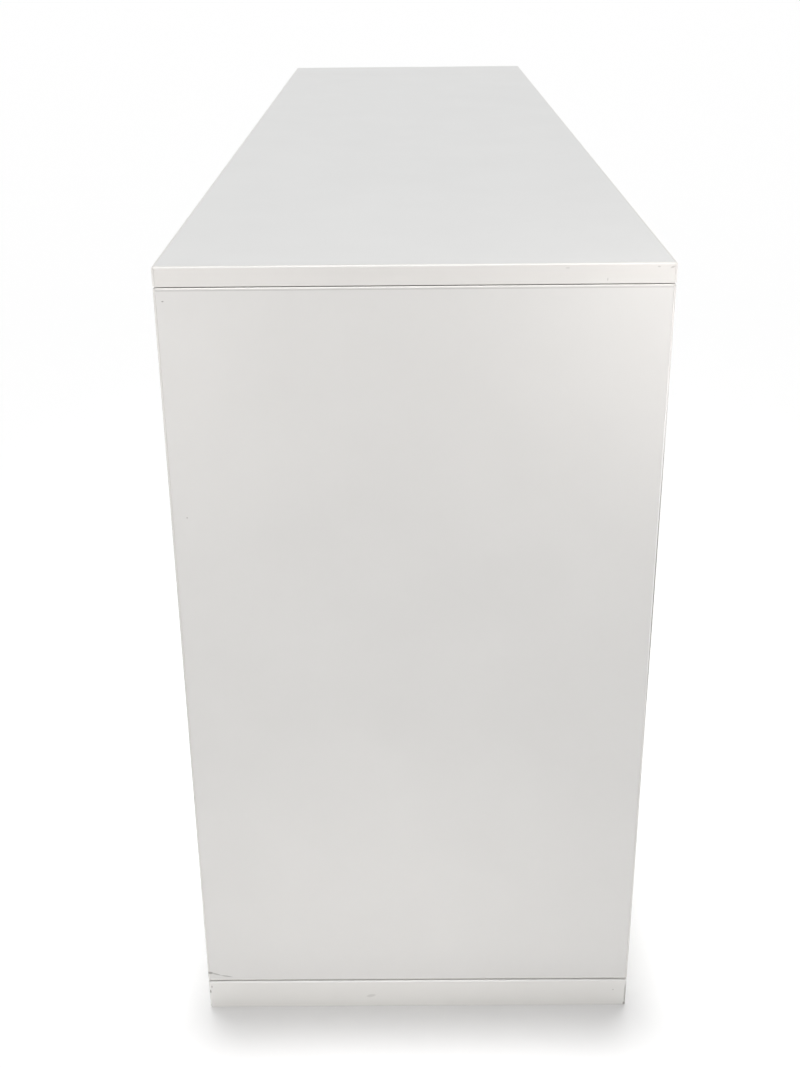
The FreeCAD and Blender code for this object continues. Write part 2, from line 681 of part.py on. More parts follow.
def add_door(name, side, boards):
    """One sliding door with its banding, wheels, glides, pull and lock."""
    face = DOOR_FACE[side]
    middle = face + BOARD / 2
    ends = sorted((side * DOOR_OUTER_EDGE, -side * DOOR_OVERLAP / 2))
    board = Board(
        (ends[0], face, DOOR_FOOT), (ends[1], face + BOARD, DOOR_HEAD),
        through=(LEFT_FACE, RIGHT_FACE), butted=(LOWER_FACE, UPPER_FACE),
    )
    for letter, x in (("a", ends[0] + CARRIER_INSET), ("b", ends[1] - CARRIER_INSET)):
        add_runner(name, letter, x, middle, board)
        add_glide(name, x, middle)

    centre = V(side * (DOOR_OUTER_EDGE - PULL_INSET), face, PULL_LEVEL)
    add(name + "_door_pull", pull(centre))
    clear = 2 * (PULL_WALL + PULL_PLAY)
    deep = PULL_DEPTH + PULL_WALL + PULL_PLAY
    board.cut(upright_block(centre, PULL_WIDTH + clear, PULL_HEIGHT + clear, deep))

    lock_axis = V(side * (DOOR_OUTER_EDGE - LOCK_BACKSET), face, LOCK_LEVEL)
    case, core, bolt, mortise = make_lock()
    add(name + "_lock_case", placed(case, side, lock_axis))
    add(name + "_lock_core", placed(core, side, lock_axis))
    add(name + "_lock_hook", placed(bolt, side, lock_axis))
    board.cut(*[placed(tool, side, lock_axis) for tool in mortise])
    plate, seats = make_strike()
    add(name + "_strike_plate", placed(plate, side, lock_axis))
    boards[name + "_side_panel"].cut(*[placed(tool, side, lock_axis) for tool in seats])

    core_solid, bands = board.solids()
    add(name + "_door_panel", core_solid)
    add(name + "_door_banding", *bands)


def add_runner(name, letter, x, middle, board):
    """A wheel on its axle in a carrier, let into the door's lower edge."""
    centre = V(x, middle, AXLE_HEIGHT)
    add(name + "_door_carriers", carrier(centre))
    add(name + "_door_axles", axle(centre))
    add(name + "_door_wheel_" + letter, wheel(centre))
    reach = CARRIER_REACH + CARRIER_PLAY
    half = CARRIER_HALF + CARRIER_PLAY
    board.cut(box(x - reach, x + reach, middle - half, middle + half, DOOR_FOOT, CARRIER_TOP + CARRIER_PLAY))


def add_glide(name, x, middle):
    """A plastic cap over the door's upper edge that runs between the channel's walls."""
    outer = (DOOR_PITCH - CHANNEL_WALL) / 2 - GLIDE_PLAY
    inner = BOARD / 2 + GLIDE_FIT
    half = GLIDE_LENGTH / 2
    skirt = DOOR_HEAD - GLIDE_SKIRT
    cap = box(x - half, x + half, middle - outer, middle + outer, skirt, DOOR_HEAD + GLIDE_CROWN)
    hollow = box(x - half, x + half, middle - inner, middle + inner, skirt, DOOR_HEAD)
    add(name + "_door_glides", cap.cut(hollow).Solids[0])


def add_buffers(boards):
    """Rubber buffers pressed into the side panels, where the doors' edges come to rest."""
    for name, side in (("left", LEFT), ("right", RIGHT)):
        for face in (OUTER_DOOR_FACE, INNER_DOOR_FACE):
            for z in (DOOR_FOOT + BUFFER_INSET, DOOR_HEAD - BUFFER_INSET):
                mouth = V(side * INNER_END, face + BOARD / 2, z)
                seat = mouth + X * (side * BUFFER_SEAT)
                crown = mouth - X * (side * BUFFER_STAND)
                add("door_buffers", bar(DISC_SIDES, BUFFER_RADIUS, seat, crown))
                boards[name + "_side_panel"].cut(bar(DISC_SIDES, BUFFER_RADIUS + BUFFER_PLAY, seat, mouth))


def add_levellers(boards):
    """Screw levellers under the bottom panel, reached through capped holes in it."""
    for depth_name, y in (("front", FRONT + LEVELLER_INSET_Y), ("back", BACK - LEVELLER_INSET_Y)):
        for side_name, x in (("left", -END + LEVELLER_INSET_X), ("right", END - LEVELLER_INSET_X)):
            add("leveller_%s_%s" % (depth_name, side_name), leveller_foot(x, y))
            add("leveller_sockets", leveller_socket(x, y))
            add("leveller_caps", leveller_cap(x, y))
            boards["bottom_panel"].cut(bar(BAR_SIDES, ACCESS_RADIUS, V(x, y, SIDE_FOOT), V(x, y, FLOOR)))


def leveller_foot(x, y):
    """A foot disc on a spindle, with a socket for a key in the spindle's end."""
    neck, tip = V(x, y, FOOT_THICKNESS), V(x, y, SPINDLE_TIP)
    disc = bar(DISC_SIDES, FOOT_RADIUS, V(x, y, 0), neck)
    spindle = bar(BAR_SIDES, SPINDLE_RADIUS, neck, tip)
    socket = bar(BAR_SIDES, SPINDLE_SOCKET, tip - Z * SPINDLE_SOCKET_DEPTH, tip)
    return disc.fuse(spindle).cut(socket).removeSplitter().Solids[0]


def leveller_socket(x, y):
    """The threaded boss that the spindle turns in, with a flange against the bottom panel."""
    radius = SPINDLE_RADIUS + SOCKET_WALL
    foot, head = V(x, y, SIDE_FOOT - SOCKET_LENGTH), V(x, y, SIDE_FOOT)
    flange = bar(BAR_SIDES, radius + SOCKET_LIP, head - Z * SOCKET_FLANGE, head)
    boss = bar(BAR_SIDES, radius, foot, head)
    bore = bar(BAR_SIDES, SPINDLE_RADIUS + SPINDLE_PLAY, foot, head)
    return flange.fuse(boss).cut(bore).removeSplitter().Solids[0]


def leveller_cap(x, y):
    """A cap that closes the access hole from inside the sideboard."""
    mouth = V(x, y, FLOOR)
    lid = bar(DISC_SIDES, ACCESS_RADIUS + CAP_LIP, mouth, mouth + Z * CAP_THICKNESS)
    plug = bar(BAR_SIDES, ACCESS_RADIUS - CAP_PLAY, mouth - Z * CAP_PLUG, mouth)
    return lid.fuse(plug).removeSplitter().Solids[0]


def finish_boards(boards):
    """Cuts each carcass board and files its core and its banding under their nodes."""
    for name, board in boards.items():
        core, bands = board.solids()
        add(name, core)
        if name.endswith("side_panel") or name == "top_panel":
            add(name.replace("panel", "banding"), *bands)
        else:
            add("inner_edge_bands", *bands)


def finish_plinth(plinth):
    """Cuts the plinth boards and eases the edges of their outer faces."""
    outer = {
        "plinth_left_end": (0, -END),
        "plinth_right_end": (0, END),
        "plinth_front_rail": (1, FRONT),
        "plinth_back_rail": (1, BACK),
    }
    for name, board in plinth.items():
        low, high = board.low, board.high
        solid = box(low[0], high[0], low[1], high[1], low[2], high[2])
        if name in outer:
            axis, value = outer[name]
            edges = edges_on(solid, axis, value)
            if axis == 1:
                edges = [e for e in edges if abs(e.tangentAt(e.FirstParameter).x) > 0.5]
            solid = solid.makeChamfer(ARRIS, edges)
        add(name, solid.cut(board.tools).Solids[0])


def write_parts():
    """Writes one file for each node."""
    os.makedirs("parts", exist_ok=True)
    for node, solids in sorted(parts.items()):
        shape = solids[0] if len(solids) == 1 else Part.makeCompound(solids)
        shape.exportStep("parts/%s.step" % node)


def main():
    boards = make_boards()
    plinth = make_plinth()
    join_carcass(boards)
    join_plinth(boards, plinth)
    add_back_panel(boards)
    add_shelf_pins(boards)
    add_tracks()
    add_buffers(boards)
    add_levellers(boards)
    add_door("left", LEFT, boards)
    add_door("right", RIGHT, boards)
    finish_boards(boards)
    finish_plinth(plinth)
    write_parts()


main()
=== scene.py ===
"""Looks of a long office sideboard in white melamine board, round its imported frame.

The boards, the shelves, the fittings and the profiles are the frame's own solids with finishes
on them. Edge bands, plinth boards, pulls, lock roses, wheels, feet, caps, buffers and the heads
of cams and screws are new surfaces, each a stack of rings or a polar grid worked out with numpy.
Lengths are in metres, and MM turns a size in millimetres into them.
"""

import math

import bpy
import numpy as np
from mathutils import Matrix, Vector


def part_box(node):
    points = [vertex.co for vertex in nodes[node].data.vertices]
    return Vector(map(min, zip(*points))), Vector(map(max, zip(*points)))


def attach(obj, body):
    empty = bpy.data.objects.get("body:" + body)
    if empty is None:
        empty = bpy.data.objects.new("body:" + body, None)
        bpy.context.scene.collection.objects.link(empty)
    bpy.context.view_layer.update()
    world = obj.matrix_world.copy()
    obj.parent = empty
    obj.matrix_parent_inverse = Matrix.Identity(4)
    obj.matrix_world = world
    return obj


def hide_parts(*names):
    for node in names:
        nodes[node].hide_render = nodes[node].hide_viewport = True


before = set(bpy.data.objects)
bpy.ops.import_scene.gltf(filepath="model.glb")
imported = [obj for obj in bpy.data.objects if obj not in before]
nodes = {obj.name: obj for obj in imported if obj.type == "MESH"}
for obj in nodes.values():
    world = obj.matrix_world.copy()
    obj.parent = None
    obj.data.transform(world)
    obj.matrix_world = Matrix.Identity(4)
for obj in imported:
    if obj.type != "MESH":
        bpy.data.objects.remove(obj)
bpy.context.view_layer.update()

MM = 0.001

# Camera of the photograph: focal length in pixels, place in metres, turns in degrees
IMAGE_WIDTH, IMAGE_HEIGHT = 800, 1067
FOCAL_PIXELS = 1390.6
SENSOR_MM = 36.0
CAMERA_PLACE = (1.8468, -0.0067, 0.9559)
CAMERA_PITCH, CAMERA_YAW, CAMERA_ROLL = 23.639, -0.330, -0.554

# Overhead light: height in metres, lean along X and Y and spread along Y and X in degrees, brightness
KEY_HEIGHT = 400.0
KEY_LEAN = (-3.8, -0.4)
KEY_SPREAD = (8.0, 6.8)
KEY_LEVEL = 0.666
# Small soft lights close to the near end: place, the point that each faces, size and watts
NEAR_LIGHTS = {
    "right_top": ((1.00, 0.45, 0.95), (0.8, 0.15, 0.66), (0.2, 0.2), 0.176),
    "upper_right": ((1.00, 0.28, 0.74), (0.8, 0.20, 0.68), (0.15, 0.15), 0.212),
    "left_face": ((1.12, -0.42, 0.72), (0.8, -0.15, 0.66), (0.2, 0.2), 0.441),
    "low_bounce": ((1.15, -0.05, 0.03), (0.8, -0.04, 0.04), (0.5, 0.05), 0.205),
}
# Wide panel that makes only shine: the same four values
GLINT = ((3.6, -0.25, 2.9), (0.8, 0.0, 0.66), (2.8, 2.6), 165.0)
WHITE = "#FFFFFF"
WARM_WHITE = "#FFFAF7"
# Brightness of the pale surround low down and overhead, and the rises (sines) between which it falls
SURROUND = (1.01, 0.253)
SURROUND_RISE = (0.178, 0.528)
FLOOR_REACH = 40.0
FLOOR_GLOW = 0.08

# Eased edges and seams of the boards
ARRIS = 1.5 * MM
PLINTH_ARRIS = 2.0 * MM
BOARD_CORNER = 1.8 * MM
LEAST_CORNER = 0.05 * MM
SEAM = 0.35 * MM
SCRAPED_SEAM = 0.1 * MM
JOINT_GAP = 0.7 * MM
PLINTH_GAP = 1.1 * MM
BEVEL_SLOPE = 0.48
# The most that an arris takes of its strip's depth above the seam
ARRIS_SHARE = 0.95
# A band thinner than this share of the one opposite is scraped to a bevel
SCRAPED_SHARE = 0.9
# What is left of the easing along the lower edge of the top's bands and of the plinth
LOWER_EASE = 0.3
PLINTH_LOWER_EASE = 0.08
# A flat rim beside each rounding, which keeps the smooth shading on the rounding
SHADE_MARGIN = 0.3 * MM
SHARP_ANGLE = math.radians(35)

# Patterns and depths of the finishes, and wear
FACING = 0.3 * MM
CLOUD = 90.0 * MM
PEARL = 1.2 * MM
PEARL_DEPTH = 0.03 * MM
CHIP = 3.0 * MM
DRIFT = 140.0 * MM
SCRAPER_TRACK = 2.5 * MM
SCRAPER_DEPTH = 0.02 * MM
# Dark colours for the marks: dirt, and painted shade along edges and in joints
PANEL_DIRT_AND_SHADE = "#6E6B66"
BAND_DIRT_AND_SHADE = "#8A8782"
MARK_DEPTH = 3.0 * MM
# The share of a mark's reach inside which it has its full strength
MARK_CORE = 0.35

# Pulls and locks
PULL_CORNER = 6.0 * MM
PULL_RIM = 4.0 * MM
PULL_RIM_THICKNESS = 1.0 * MM
PULL_WALL = 1.2 * MM
PULL_BACK_ROUND = 2.0 * MM
PULL_LIP_ROUND = 0.5 * MM
PULL_FLOOR_ROUND = 3.0 * MM
ROSE_RADIUS = 10.2 * MM
ROSE_BORE = 5.2 * MM
ROSE_THICKNESS = 1.15 * MM
ROSE_PROUD = 0.15 * MM
ROSE_ROUND = 0.6 * MM
ROSE_CHAMFER = 0.3 * MM

# Wheels, feet, caps and buffers
WHEEL_BORE = 2.06 * MM
WHEEL_ROUND = 0.6 * MM
WHEEL_RIM = 2.0 * MM
WHEEL_HUB = 2.0 * MM
WHEEL_DISH = 0.8 * MM
FOOT_RADIUS = 16.0 * MM
FOOT_THICKNESS = 6.0 * MM
FOOT_ROUND = 1.0 * MM
FOOT_SHOULDER = 3.0 * MM
FOOT_SHOULDER_DROP = 2.0 * MM
FOOT_NECK = 0.5 * MM
SPINDLE_RADIUS = 4.9 * MM
THREAD_PITCH = 1.5 * MM
THREAD_DEPTH = 0.8 * MM
THREAD_ROWS = 8
CAP_RADIUS = 9.0 * MM
CAP_THICKNESS = 1.2 * MM
BUFFER_RADIUS = 4.0 * MM
BUFFER_STAND = 1.0 * MM
# The share of a small disc's thickness that its rim is rounded by
DISC_ROUND = 0.6

# Cams and screws: a recess is the length, width and depth of its cross
CAM_RADIUS = 7.5 * MM
CAM_DEPTH = 12.0 * MM
CAM_INSET = 24.0 * MM
CAM_DOME = 0.25 * MM
CAM_RECESS = (9.0 * MM, 2.0 * MM, 3.0 * MM)
SCREW_RADIUS = 3.5 * MM
STRIKE_SCREW_RADIUS = 2.4 * MM
STRIKE_SCREW_INSET = 5.0 * MM
RAIL_SCREWS = 7
RAIL_SCREW_INSET = 60.0 * MM
RAIL_BASE = 1.5 * MM
# A screw head's dome, recess and skirt as shares of its radius
SCREW_DOME = 0.14
SCREW_RECESS = (1.1, 0.26, 0.2)
SCREW_SKIRT = 0.5
# The innermost ring of a head as a share of its radius, and the recess's slope as one of its width
HEAD_CENTRE = 0.04
RECESS_SLOPE = 0.35


def linear(hex_colour):
    """An sRGB hex colour as linear red, green, blue and alpha."""
    channels = [int(hex_colour[i:i + 2], 16) / 255 for i in (1, 3, 5)]
    return [c / 12.92 if c <= 0.04045 else ((c + 0.055) / 1.055) ** 2.4 for c in channels] + [1.0]


def add_node(tree, kind, values=None, links=None, **settings):
    """Adds a shader node with its settings, its input values and the outputs linked to it."""
    made = tree.nodes.new(kind)
    for key, value in settings.items():
        setattr(made, key, value)
    for key, value in (values or {}).items():
        made.inputs[key].default_value = value
    for key, source in (links or {}).items():
        tree.links.new(source, made.inputs[key])
    return made


def new_finish(name, values):
    """A material with uniform values on its shader, and its tree, shader and Object coordinates."""
    material = bpy.data.materials.new(name)
    material.use_nodes = True
    tree = material.node_tree
    shader = tree.nodes["Principled BSDF"]
    for key, value in values.items():
        shader.inputs[key].default_value = value
    coordinates = add_node(tree, "ShaderNodeTexCoord").outputs["Object"]
    return material, tree, shader, coordinates


def marks_mask(tree, coordinates, marks):
    """How strongly a point is marked, by wear and dirt and by painted shade and highlights: the
    strongest of some ellipses, each full near its middle and then soft.

    Each mark is (centre, half length and half width across Y and Z, turn about X, strength).
    """
    total = None
    for centre, half, turn, strength in marks:
        ellipse = {
            "Location": centre,
            "Rotation": (math.radians(turn), 0, 0),
            "Scale": (MARK_DEPTH, half[0], half[1]),
        }
        place = add_node(
            tree, "ShaderNodeMapping", ellipse, {"Vector": coordinates}, vector_type="TEXTURE"
        )
        reach = add_node(
            tree, "ShaderNodeVectorMath", links={0: place.outputs["Vector"]}, operation="LENGTH"
        )
        soft = add_node(
            tree, "ShaderNodeMapRange",
            {"From Min": 1.0, "From Max": MARK_CORE, "To Min": 0.0, "To Max": strength},
            {"Value": reach.outputs["Value"]}, interpolation_type="SMOOTHSTEP",
        )
        level = soft.outputs["Result"]
        if total is not None:
            level = add_node(
                tree, "ShaderNodeMath", links={0: total, 1: level}, operation="MAXIMUM"
            ).outputs["Value"]
        total = level
    return total


def facing_mask(tree, coordinates, node):
    """One on the two faces of a board and nought deeper than its facing."""
    low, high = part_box(node)
    spans = [high[a] - low[a] for a in range(3)]
    thin = spans.index(min(spans))
    middle = (low[thin] + high[thin]) / 2
    parts = add_node(tree, "ShaderNodeSeparateXYZ", links={0: coordinates})
    offset = add_node(
        tree, "ShaderNodeMath", {1: middle}, {0: parts.outputs[thin]}, operation="SUBTRACT"
    )
    depth = add_node(tree, "ShaderNodeMath", links={0: offset.outputs[0]}, operation="ABSOLUTE")
    faced = add_node(
        tree, "ShaderNodeMath", {1: spans[thin] / 2 - FACING}, {0: depth.outputs[0]},
        operation="GREATER_THAN",
    )
    return faced.outputs[0]


def melamine(name, node, light="#E1E1E0", deep="#DBDBDA", marks=()):
    """Melamine paper pressed onto particle board.

    The press plate leaves a fine pearl in a satin surface, drawn coarser than it is so that it
    shows. The paper is faintly cloudy, and the board under it shows as brown chips wherever a
    bore or a groove goes below the facing.
    """
    material, tree, shader, coordinates = new_finish(name, {"Specular IOR Level": 0.45})
    cloud = add_node(
        tree, "ShaderNodeTexNoise", {"Scale": 1 / CLOUD, "Detail": 3.0}, {"Vector": coordinates}
    )
    paper = add_node(
        tree, "ShaderNodeMix", {6: linear(deep), 7: linear(light)},
        {0: cloud.outputs["Fac"]}, data_type="RGBA",
    )
    colour = paper.outputs[2]
    # Marks darken the paper: dirt, and painted shade along the edges and the joint
    if marks:
        dirt_and_painted_shade = add_node(
            tree, "ShaderNodeMix", {7: linear(PANEL_DIRT_AND_SHADE)},
            {0: marks_mask(tree, coordinates, marks), 6: colour}, data_type="RGBA",
        )
        colour = dirt_and_painted_shade.outputs[2]

    pearl = add_node(
        tree, "ShaderNodeTexNoise", {"Scale": 1 / PEARL, "Detail": 2.0}, {"Vector": coordinates}
    )
    satin = add_node(
        tree, "ShaderNodeMapRange", {"To Min": 0.40, "To Max": 0.50}, {"Value": pearl.outputs["Fac"]}
    )
    relief = add_node(
        tree, "ShaderNodeBump", {"Strength": 0.25, "Distance": PEARL_DEPTH},
        {"Height": pearl.outputs["Fac"]},
    )
    tree.links.new(relief.outputs["Normal"], shader.inputs["Normal"])

    faced = facing_mask(tree, coordinates, node)
    chips = add_node(tree, "ShaderNodeTexVoronoi", {"Scale": 1 / CHIP}, {"Vector": coordinates})
    chip = add_node(
        tree, "ShaderNodeMix", {6: linear("#B08A5E"), 7: linear("#7C5B3A")},
        {0: chips.outputs["Distance"]}, data_type="RGBA",
    )
    whole = add_node(
        tree, "ShaderNodeMix", links={0: faced, 6: chip.outputs[2], 7: colour}, data_type="RGBA"
    )
    dull = add_node(tree, "ShaderNodeMix", {2: 0.85}, {0: faced, 3: satin.outputs["Result"]})
    tree.links.new(whole.outputs[2], shader.inputs["Base Color"])
    tree.links.new(dull.outputs[0], shader.inputs["Roughness"])
    return material


def edge_band(name, marks=(), painted_highlights=(), light="#E1DFDC", deep="#DAD8D5", satin=(0.30, 0.42)):
    """ABS edge band, extruded, glued on and scraped round: a warmer, smoother white than the paper.

    The scraper's faint tracks vary the sheen. Pale lines on it are painted highlights on the rounded
    edges, and dark marks on top are dirt and painted shade.
    """
    material, tree, shader, coordinates = new_finish(name, {"Specular IOR Level": 0.5})
    drift = add_node(
        tree, "ShaderNodeTexNoise", {"Scale": 1 / DRIFT, "Detail": 2.0}, {"Vector": coordinates}
    )
    shade = add_node(
        tree, "ShaderNodeMix", {6: linear(deep), 7: linear(light)},
        {0: drift.outputs["Fac"]}, data_type="RGBA",
    )
    colour = shade.outputs[2]
    # White lines are painted highlights; dark marks are dirt and painted shade
    for tint, places in ((WHITE, painted_highlights), (BAND_DIRT_AND_SHADE, marks)):
        if places:
            wear_and_painted_light = add_node(
                tree, "ShaderNodeMix", {7: linear(tint)},
                {0: marks_mask(tree, coordinates, places), 6: colour}, data_type="RGBA",
            )
            colour = wear_and_painted_light.outputs[2]
    tree.links.new(colour, shader.inputs["Base Color"])

    track = add_node(
        tree, "ShaderNodeTexNoise", {"Scale": 1 / SCRAPER_TRACK, "Detail": 2.0},
        {"Vector": coordinates},
    )
    sheen = add_node(
        tree, "ShaderNodeMapRange", {"To Min": satin[0], "To Max": satin[1]},
        {"Value": track.outputs["Fac"]},
    )
    tree.links.new(sheen.outputs["Result"], shader.inputs["Roughness"])
    relief = add_node(
        tree, "ShaderNodeBump", {"Strength": 0.1, "Distance": SCRAPER_DEPTH},
        {"Height": track.outputs["Fac"]},
    )
    tree.links.new(relief.outputs["Normal"], shader.inputs["Normal"])
    return material


def grained(name, light, dark, grain_mm, stretch, values, roughness, depth_mm):
    """A finish with one grain: brushed, drawn, turned, moulded or cast, or wood.

    The grain is noise as coarse as grain_mm, drawn out along the axes where stretch is small, and
    it moves the colour between two tones, the roughness over a range, and the surface by depth_mm.
    Real metal and plastic have a finer grain, which is drawn coarser here so that it shows.
    """
    material, tree, shader, coordinates = new_finish(name, values)
    drawn = add_node(tree, "ShaderNodeMapping", {"Scale": stretch}, {"Vector": coordinates})
    grain = add_node(
        tree, "ShaderNodeTexNoise", {"Scale": 1 / (grain_mm * MM), "Detail": 3.0},
        {"Vector": drawn.outputs[0]},
    )
    tone = add_node(
        tree, "ShaderNodeMix", {6: linear(dark), 7: linear(light)},
        {0: grain.outputs["Fac"]}, data_type="RGBA",
    )
    tree.links.new(tone.outputs[2], shader.inputs["Base Color"])
    gloss = add_node(
        tree, "ShaderNodeMapRange", {"To Min": roughness[0], "To Max": roughness[1]},
        {"Value": grain.outputs["Fac"]},
    )
    tree.links.new(gloss.outputs["Result"], shader.inputs["Roughness"])
    relief = add_node(
        tree, "ShaderNodeBump", {"Strength": 0.3, "Distance": depth_mm * MM},
        {"Height": grain.outputs["Fac"]},
    )
    tree.links.new(relief.outputs["Normal"], shader.inputs["Normal"])
    return material


def outline(half_u, half_v, corner, steps):
    """Points round a rectangle with round corners: a quarter circle of some chords at each corner.

    The sizes are columns with one row for each ring, so the result has one row of points for each.
    """
    quarter = np.linspace(0, math.pi / 2, steps + 1)
    angle = np.concatenate([quarter + q * math.pi / 2 for q in range(4)])
    side_u = np.repeat([1, -1, -1, 1], steps + 1)
    side_v = np.repeat([1, 1, -1, -1], steps + 1)
    u = side_u * (half_u - corner) + corner * np.cos(angle)
    v = side_v * (half_v - corner) + corner * np.sin(angle)
    return u, v


def ring_faces(rings, count, closed=False):
    """Quads from each ring of points to the next.

    The last ring joins the first where the shape is closed, and otherwise both ends are capped.
    """
    ring = np.arange(rings if closed else rings - 1)[:, None]
    step = np.arange(count)[None, :]
    following = (step + 1) % count
    start, above = ring * count, (ring + 1) % rings * count
    corners = (start + step, start + following, above + following, above + step)
    faces = np.stack(np.broadcast_arrays(*corners), axis=-1).reshape(-1, 4).tolist()
    if not closed:
        faces.append(np.arange(count)[::-1].tolist())
        faces.append((np.arange(count) + (rings - 1) * count).tolist())
    return faces


def set_out(centre, axes, u, v, height):
    """Points of a grid from their distances along three axes, in one list."""
    across, along, out = np.array(axes, float)
    points = np.array(centre) + u[..., None] * across + v[..., None] * along + height[..., None] * out
    return points.reshape(-1, 3)


def ring_stack(centre, axes, half, corner, profile, steps=5, closed=False, square_ends=False):
    """Rings of one outline stacked along the third axis, each drawn in and raised by the profile.

    profile is rows of (draw-in, height). A closed profile joins its last ring to its first, as on a
    wheel, and an open one is capped at both ends. With square ends only the first axis is drawn in.
    """
    drawn, height = np.array(profile, float).T[:, :, None]
    half_u = half[0] - drawn
    half_v = np.full_like(drawn, half[1]) if square_ends else half[1] - drawn
    rounding = np.zeros_like(drawn) if square_ends else np.maximum(corner - drawn, LEAST_CORNER)
    u, v = outline(half_u, half_v, rounding, 0 if square_ends else steps)
    return set_out(centre, axes, u, v, height), ring_faces(*u.shape, closed)


def axes_out(out, along):
    """Three axes at right angles: across and along the face, and out of it."""
    out, along = np.array(out, float), np.array(along, float)
    return [np.cross(along, out), along, out]


def arc(drawn, height, radius, start, end, steps=5):
    """Profile rows along part of a circle round a point, by angles in degrees: 0 draws out, 90 rises."""
    angle = np.radians(np.linspace(start, end, steps + 1))
    return [(drawn - radius * math.cos(a), height + radius * math.sin(a)) for a in angle]


def cross_head(centre, axes, radius, dome, recess, skirt, rings=14, spokes=48):
    """A round head on a polar grid: height falls off as the square of the radius from the dome's
    crown, and drops by the recess depth where the point lies in either bar of a cross. A skirt
    goes down from its rim.
    """
    length, width, depth = recess
    share = np.linspace(HEAD_CENTRE, 1, rings)[:, None]
    turn = np.linspace(0, 2 * math.pi, spokes, endpoint=False)[None, :]
    u, v = radius * share * np.cos(turn), radius * share * np.sin(turn)
    slope = RECESS_SLOPE * width

    def bar(a, b):
        lengthways = np.clip((length / 2 - np.abs(a)) / slope, 0, 1)
        inside = lengthways * np.clip((width / 2 - np.abs(b)) / slope, 0, 1)
        return inside * inside * (3 - 2 * inside)

    height = dome * (1 - share ** 2) - depth * np.maximum(bar(u, v), bar(v, u))
    u, v = (np.concatenate([a, a[-1:]]) for a in (u, v))
    height = np.concatenate([height, height[-1:] - skirt])
    return set_out(centre, axes, u, v, height), [face[::-1] for face in ring_faces(*u.shape)]


def screw_head(centre, out, along, radius):
    """A countersunk screw's head with a cross recess."""
    recess = [share * radius for share in SCREW_RECESS]
    axes = axes_out(out, along)
    return cross_head(centre, axes, radius, SCREW_DOME * radius, recess, SCREW_SKIRT * radius)


def cam_face(centre, out, along):
    """The face of a cam in its bore, a little proud of the board, with a deep cross for the driver."""
    return cross_head(centre, axes_out(out, along), CAM_RADIUS, CAM_DOME, CAM_RECESS, CAM_DEPTH)


def make_piece(name, surfaces, material, body, replaced=()):
    """One finished piece from several surfaces: smooth on its rounds, sharp at its real edges."""
    points, faces, start = [], [], 0
    for surface_points, surface_faces in surfaces:
        points.append(surface_points)
        faces += [[start + i for i in face] for face in surface_faces]
        start += len(surface_points)
    mesh = bpy.data.meshes.new(name)
    mesh.from_pydata(np.concatenate(points).tolist(), [], faces)
    mesh.shade_smooth()
    mesh.set_sharp_from_angle(angle=SHARP_ANGLE)
    mesh.materials.append(material)
    piece = bpy.data.objects.new(name, mesh)
    bpy.context.scene.collection.objects.link(piece)
    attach(piece, body)
    if replaced:
        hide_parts(*replaced)


def eased_strip(inner, depth, axes, half, ends_square, scraped=False, arris=ARRIS):
    """A strip whose outer face is eased all round, or along its sides only: straight up from a
    narrow seam at its back, round a quarter circle or over a scraped bevel, and flat across.
    """
    seam = SCRAPED_SEAM if scraped else SEAM
    arris = min(arris, ARRIS_SHARE * (depth - seam))
    profile = [(seam, 0), (0, seam)]
    if scraped:
        profile += [(0, depth - arris), (BEVEL_SLOPE * arris, depth)]
    else:
        profile += arc(arris, depth - arris, arris, 0, 90)
    profile.append((arris + SHADE_MARGIN, depth))
    return ring_stack(inner, axes, half, BOARD_CORNER, profile, square_ends=ends_square)


def crisp_below(surface, ease=LOWER_EASE):
    """The same strip with its lower edge eased less: heights under its middle draw in to its foot."""
    points, faces = surface
    foot = points[:, 2].min()
    rise = points[:, 2] - foot
    points[:, 2] = foot + np.where(rise < rise.max() / 2, ease * rise, rise)
    return points, faces


def band_strips(board, banding, through, gap):
    """The bands of one board, from the gap between its core and its banding in the frame.

    Bands on the through axis run the whole way, and the others end against them. A gap is left
    over the upper edge.
    """
    core, whole = np.array(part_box(board)), np.array(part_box(banding))
    whole[1, 2] -= gap
    thin = int(np.argmin(core[1] - core[0]))
    strips = []
    for axis in (a for a in range(3) if a != thin):
        along = 3 - thin - axis
        reach = whole if axis == through else core
        half = ((core[1, thin] - core[0, thin]) / 2, (reach[1, along] - reach[0, along]) / 2)
        depths = np.abs(whole[:, axis] - core[:, axis])
        for side in (0, 1):
            inner = (core[0] + core[1]) / 2
            inner[along] = (reach[0, along] + reach[1, along]) / 2
            inner[axis] = core[side, axis]
            out, run = np.zeros(3), np.zeros(3)
            out[axis] = 1 if side else -1
            run[along] = 1
            scraped = depths[side] < SCRAPED_SHARE * depths[1 - side]
            strips.append(eased_strip(
                inner, depths[side], axes_out(out, run), half, axis != through, scraped
            ))
    return strips


def plinth_board(node, axis, side, ends_square):
    """A plinth board whose outer face is eased, a little under the panel that stands on it."""
    low, high = (np.array(c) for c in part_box(node))
    high[2] -= PLINTH_GAP
    inner = (low + high) / 2
    inner[axis] = low[axis] if side > 0 else high[axis]
    out, run = np.zeros(3), np.zeros(3)
    out[axis] = side
    run[1 - axis] = 1
    half = ((high[2] - low[2]) / 2, (high[1 - axis] - low[1 - axis]) / 2)
    strip = eased_strip(
        inner, high[axis] - low[axis], axes_out(out, run), half, ends_square, arris=PLINTH_ARRIS
    )
    return crisp_below(strip, PLINTH_LOWER_EASE)


